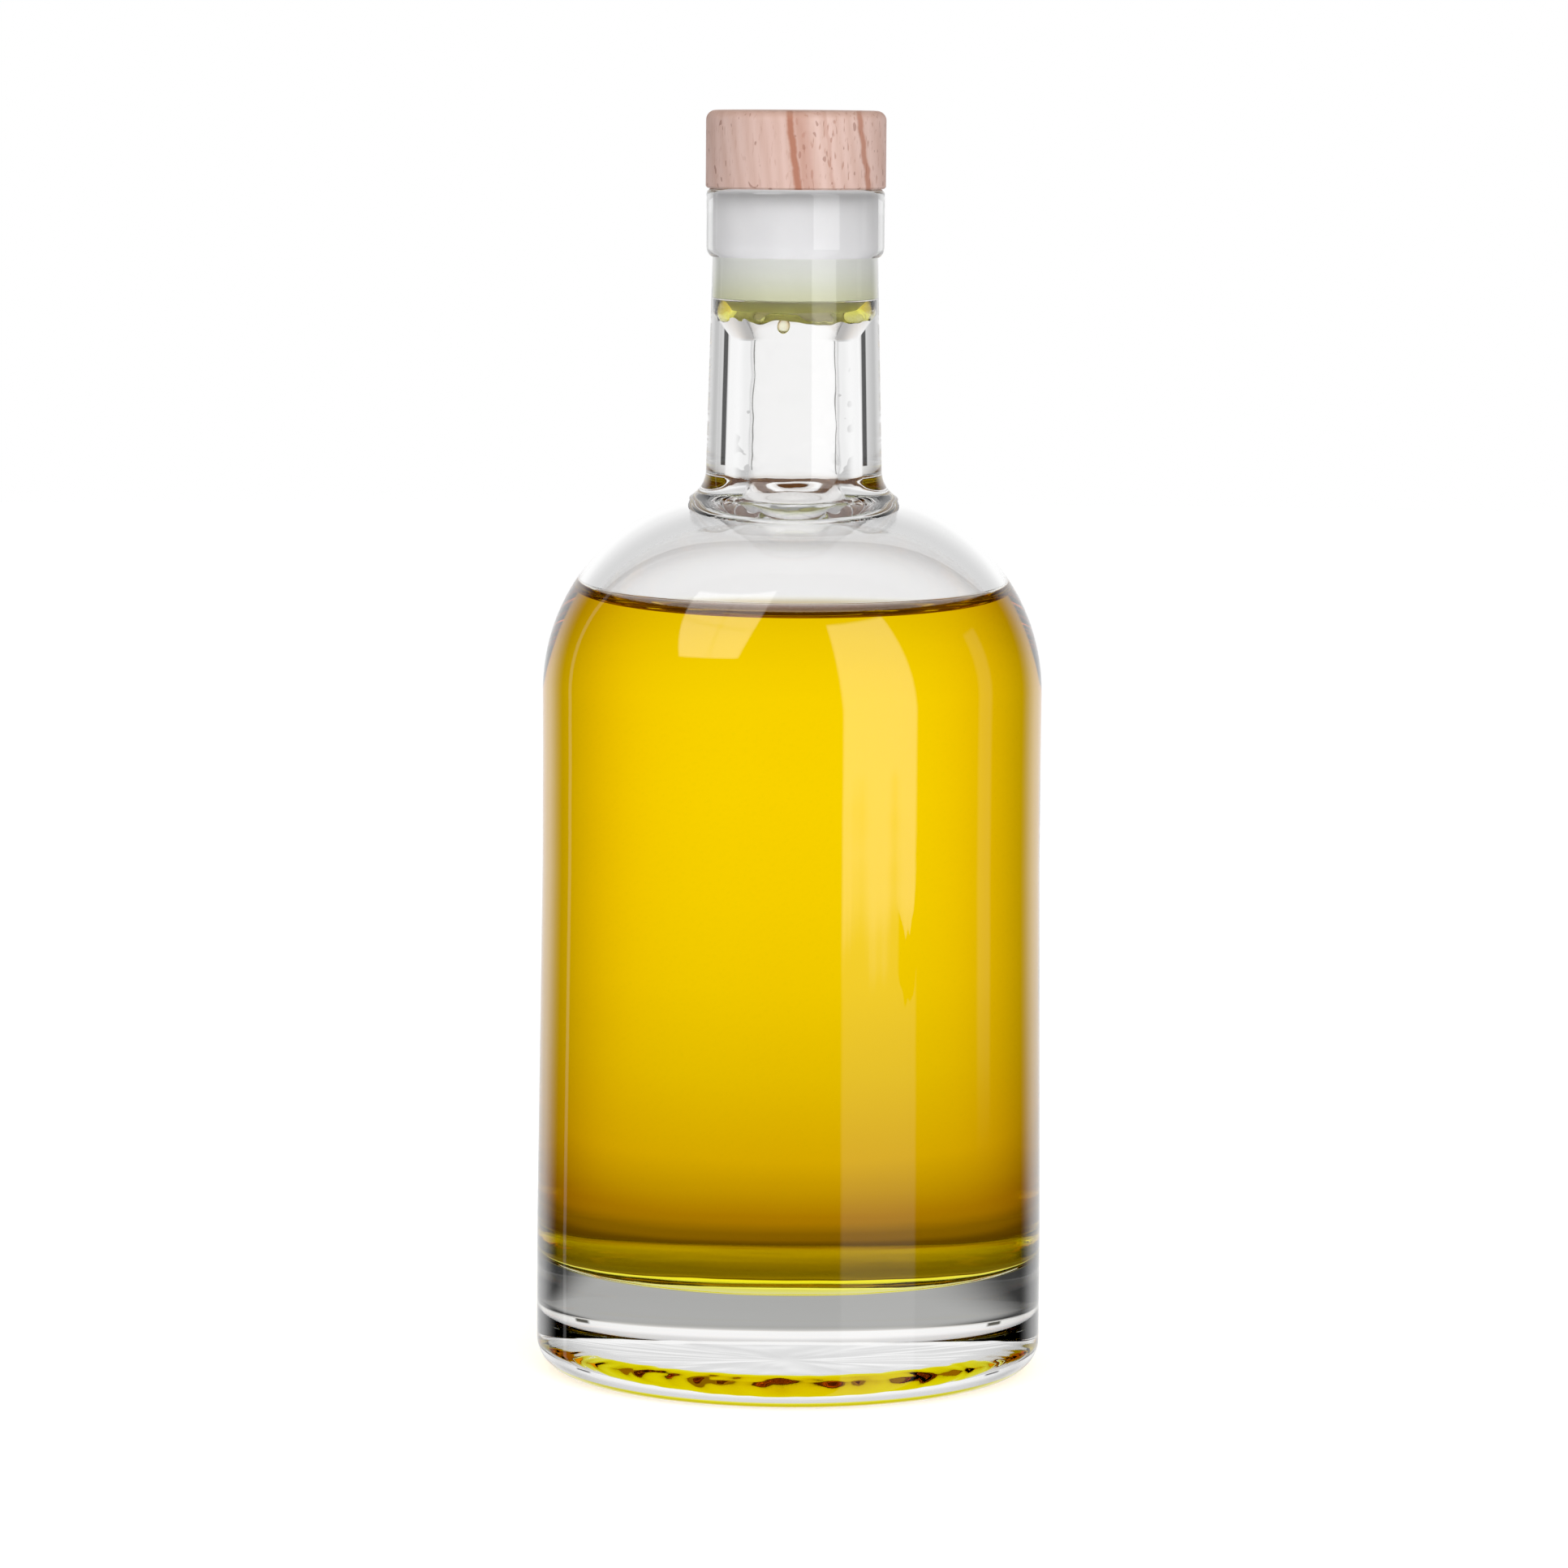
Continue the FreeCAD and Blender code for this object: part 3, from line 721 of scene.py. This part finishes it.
def room_in_reflections(wires, direction, y, azimuth, height):
    """What reflections show: a bright back, the lamps, and a thin line of light at each side."""
    behind = wires.ease(y, 0.66, 0.88)
    lumps = wires.node("ShaderNodeTexNoise", direction)
    lumps.inputs["Scale"].default_value = 9.0
    uneven = wires.plus(lumps.outputs["Fac"], -0.5)
    right_line = wires.times(wires.between(azimuth, *RIGHT_LINE, 3.0),
                             wires.between(height, *RIGHT_LINE_HEIGHTS, 2.0), RIGHT_LINE_LIGHT)
    left_line = wires.times(wires.between(azimuth, *LEFT_LINE, 1.0), LEFT_LINE_LIGHT)
    return wires.plus(behind, tall_strip(wires, azimuth, height, uneven),
                      leaning_window(wires, azimuth, height), right_line, left_line)


def room_through_glass(wires, path, x, y, height):
    """What shows through the glass: white, greyer high up and far to the side."""
    bearing = wires.angle("ARCTAN2", wires.math("ABSOLUTE", x), y)
    by_glass = wires.ease(path.outputs["Transmission Depth"], *OIL_BOUNDARIES, 1.0, 0.0)
    through = wires.times(wires.ease(height, 6, 14, 1.0, 0.78), wires.ease(bearing, 30, 64, 1.0, 0.90),
                          wires.ease(bearing, 70, 84, 1.0, 0.35))
    stretch = wires.times(wires.between(bearing, *DARK_STRETCH, 1.5),
                          wires.ease(height, 3, 6, 1.0, 0.0), by_glass,
                          unreflected(path, wires), DARK_STRETCH_SHADE)
    return wires.times(through, wires.plus(1.0, stretch))


def make_world():
    """A soft white room, which reflections and the view through the glass show in their own way."""
    world = bpy.data.worlds.new("soft_studio")
    bpy.context.scene.world = world
    world.use_nodes = True
    wires = Wiring(world.node_tree)
    background = world.node_tree.nodes["Background"]
    path = wires.node("ShaderNodeLightPath")
    direction = wires.node("ShaderNodeTexCoord").outputs["Generated"]
    x, y, z = wires.node("ShaderNodeSeparateXYZ", direction).outputs
    azimuth = wires.angle("ARCTAN2", x, wires.times(y, -1.0))
    height = wires.angle("ARCSINE", z)

    mirrored = room_in_reflections(wires, direction, y, azimuth, height)
    through = room_through_glass(wires, path, x, y, height)
    inside_light = wires.ease(y, -0.95, 0.2, INSIDE_FRONT_LIGHT, INSIDE_SIDE_LIGHT)
    from_inside = wires.math("MINIMUM", path.outputs["Diffuse Depth"], 1.0)
    more_inside = wires.plus(inside_light, wires.times(through, -1.0))
    passing = wires.plus(through, wires.times(from_inside, more_inside))

    glossy = reflected_only(path, wires)
    white = path.outputs["Is Camera Ray"]
    passed = path.outputs["Is Transmission Ray"]
    rest = wires.math("SUBTRACT", 1.0, wires.plus(glossy, white, passed))
    total = wires.plus(wires.times(glossy, mirrored), white, wires.times(passed, passing),
                       wires.times(rest, FILL))
    wires.feed(background.inputs["Strength"], total)
    background.inputs["Color"].default_value = (1, 1, 1, 1)


# The floor's painted shadow of the bottle and painted yellow caustic light, as they show through glass
# and oil, by the distance from the bottle's axis.
# Painted shadow right under the bottle.
PAINTED_SHADOW_UNDER = (0.10, 0.055, 0.02)
FAR_PAINTED_SHADE = [(0.336, (0.82, 0.78, 0.74)), (0.462, (0.92, 0.90, 0.88)), (0.62, (0.97, 0.96, 0.95)),
             (0.9, (1.0, 1.0, 1.0))]
OIL_PAINTED_SHADOW_AND_CAUSTIC = [
    (0.038, PAINTED_SHADOW_UNDER), (0.056, (0.13, 0.09, 0.05)), (0.062, (0.24, 0.17, 0.11)),
    (0.076, (0.09, 0.055, 0.035)), (0.100, (0.13, 0.085, 0.055)), (0.114, (0.24, 0.16, 0.11)),
    (0.129, (0.25, 0.17, 0.12)), (0.150, (0.40, 0.27, 0.19)), (0.164, (0.43, 0.29, 0.21)),
    (0.190, (0.56, 0.44, 0.35)), (0.229, (0.72, 0.61, 0.54))] + FAR_PAINTED_SHADE
GLASS_PAINTED_SHADOW = [
    (0.038, PAINTED_SHADOW_UNDER), (0.050, (0.46, 0.46, 0.45)), (0.092, (0.43, 0.43, 0.42)),
    (0.150, (0.62, 0.61, 0.60)), (0.229, (0.78, 0.77, 0.76))] + FAR_PAINTED_SHADE
# Painted yellow caustic light, laid over the floor to either side where it shows through the oil.
PAINTED_CAUSTIC_TINT = (0.92, 0.78, 0.6, 1)


def floor_through_glass(wires, path):
    """The floor as it shows through the glass: its colour, and how bright it is, with a painted shadow
    of the bottle and painted caustic light.
    """
    place, (x, y, _) = split_place(wires)
    distance = wires.node("ShaderNodeVectorMath", place, operation="LENGTH").outputs["Value"]
    bearing = wires.angle("ARCTAN2", wires.math("ABSOLUTE", x), y)
    through_oil = wires.ease(path.outputs["Transmission Depth"], *OIL_BOUNDARIES)
    glass_only = wires.plus(1.0, wires.times(through_oil, -1.0))
    color = wires.mix(through_oil, wires.ramp(distance, GLASS_PAINTED_SHADOW), wires.ramp(distance, OIL_PAINTED_SHADOW_AND_CAUSTIC))
    # Painted caustic light: a warm tint where the floor shows through the oil off to the side.
    side_caustic = wires.times(through_oil, wires.ease(bearing, 6, 40))
    color = wires.mix(side_caustic, color, PAINTED_CAUSTIC_TINT, "MULTIPLY")

    stretch = wires.times(wires.between(bearing, *DARK_STRETCH, 1.5), wires.ease(distance, 1.2, 1.4),
                          glass_only, unreflected(path, wires), DARK_STRETCH_SHADE)
    # Painted shadow of the bottle: close to it, the floor seen through the glass alone is darker to
    # either side.
    lean = wires.angle("ARCTAN2", x, y)
    flank_shadow = wires.times(wires.ease(lean, 17, 31, 1.0, 0.12), wires.ease(lean, -26, -7, 0.12, 1.0))
    near = wires.times(wires.ease(distance, 0.12, 0.18, 1.0, 0.0), glass_only)
    flank_shadow = wires.plus(1.0, wires.times(near, wires.plus(flank_shadow, -1.0)))
    # Painted shade: the floor also dims further to either side.
    return color, wires.times(wires.ease(bearing, 20, 62, 1.0, 0.6), wires.plus(1.0, stretch), flank_shadow)


def make_floor():
    """A pale floor. Seen through the glass it carries a painted shadow of the bottle, brown with
    painted caustic light close to it, and white further off.
    """
    bpy.ops.object.select_all(action="DESELECT")
    bpy.ops.mesh.primitive_circle_add(vertices=128, radius=FLOOR_RADIUS, fill_type="NGON",
                                      location=(0, 0, 0))
    floor = bpy.context.object
    floor.name = "floor"
    material = bpy.data.materials.new("pale_floor")
    material.use_nodes = True
    wires = Wiring(material.node_tree)
    wires.nodes.remove(wires.nodes["Principled BSDF"])
    path = wires.node("ShaderNodeLightPath")
    ground = wires.node("ShaderNodeBsdfDiffuse", (0.8, 0.8, 0.8, 1)).outputs[0]
    glow = wires.times(path.outputs["Is Camera Ray"], 0.6)
    glow = wires.node("ShaderNodeEmission", (1, 1, 1, 1), glow).outputs[0]
    seen = wires.node("ShaderNodeAddShader", ground, glow).outputs[0]
    through = wires.node("ShaderNodeEmission", *floor_through_glass(wires, path)).outputs[0]
    both = wires.node("ShaderNodeMixShader", path.outputs["Is Transmission Ray"], seen, through)
    wires.feed(wires.nodes["Material Output"].inputs["Surface"], both.outputs[0])
    floor.data.materials.append(material)
    floor.visible_glossy = False


def softbox(name, azimuth, elevation, distance, width, height, radiance):
    """An area lamp facing the bottle. Azimuth is from the camera's side, to its right."""
    a, e = math.radians(azimuth), math.radians(elevation)
    toward = Vector((math.sin(a) * math.cos(e), -math.cos(a) * math.cos(e), math.sin(e)))
    data = bpy.data.lights.new(name, "AREA")
    data.shape = "RECTANGLE"
    data.size, data.size_y = width, height
    data.energy = radiance * math.pi * width * height
    lamp = bpy.data.objects.new(name, data)
    bpy.context.collection.objects.link(lamp)
    lamp.location = Vector(LAMPS_AIM) + toward * distance
    lamp.rotation_euler = toward.to_track_quat("Z", "Y").to_euler()
    lamp.visible_camera = lamp.visible_glossy = lamp.visible_transmission = False


# Metres, except for the lens in millimetres and the roll in degrees.
CAMERA_DISTANCE, CAMERA_HEIGHT, CAMERA_SIDE = 1.129, 0.2195, -0.00127
CAMERA_LENS, CAMERA_ROLL, AIM_HEIGHT = 156.244, 0.4, 0.09814


def make_camera():
    """A long lens a little above the bottle, rolled by a hair."""
    data = bpy.data.cameras.new("camera")
    data.lens = CAMERA_LENS
    camera = bpy.data.objects.new("camera", data)
    bpy.context.collection.objects.link(camera)
    camera.location = (CAMERA_SIDE, -CAMERA_DISTANCE, CAMERA_HEIGHT)
    aim = Vector((CAMERA_SIDE, 0, AIM_HEIGHT)) - camera.location
    turn = aim.to_track_quat("-Z", "Y").to_matrix().to_4x4()
    roll = Matrix.Rotation(math.radians(CAMERA_ROLL), 4, "Z")
    camera.rotation_euler = (turn @ roll).to_euler()
    bpy.context.scene.camera = camera


make_world()
make_floor()
softbox("right_strip", 22, 18, 0.9, 0.62, 1.2, 2.2)
softbox("left_window", -38, 40, 1.2, 0.45, 0.6, 2.9)
make_camera()

scene = bpy.context.scene
scene.view_settings.view_transform = "Standard"
scene.cycles.max_bounces = 40
scene.cycles.transmission_bounces = 40
scene.cycles.glossy_bounces = 12
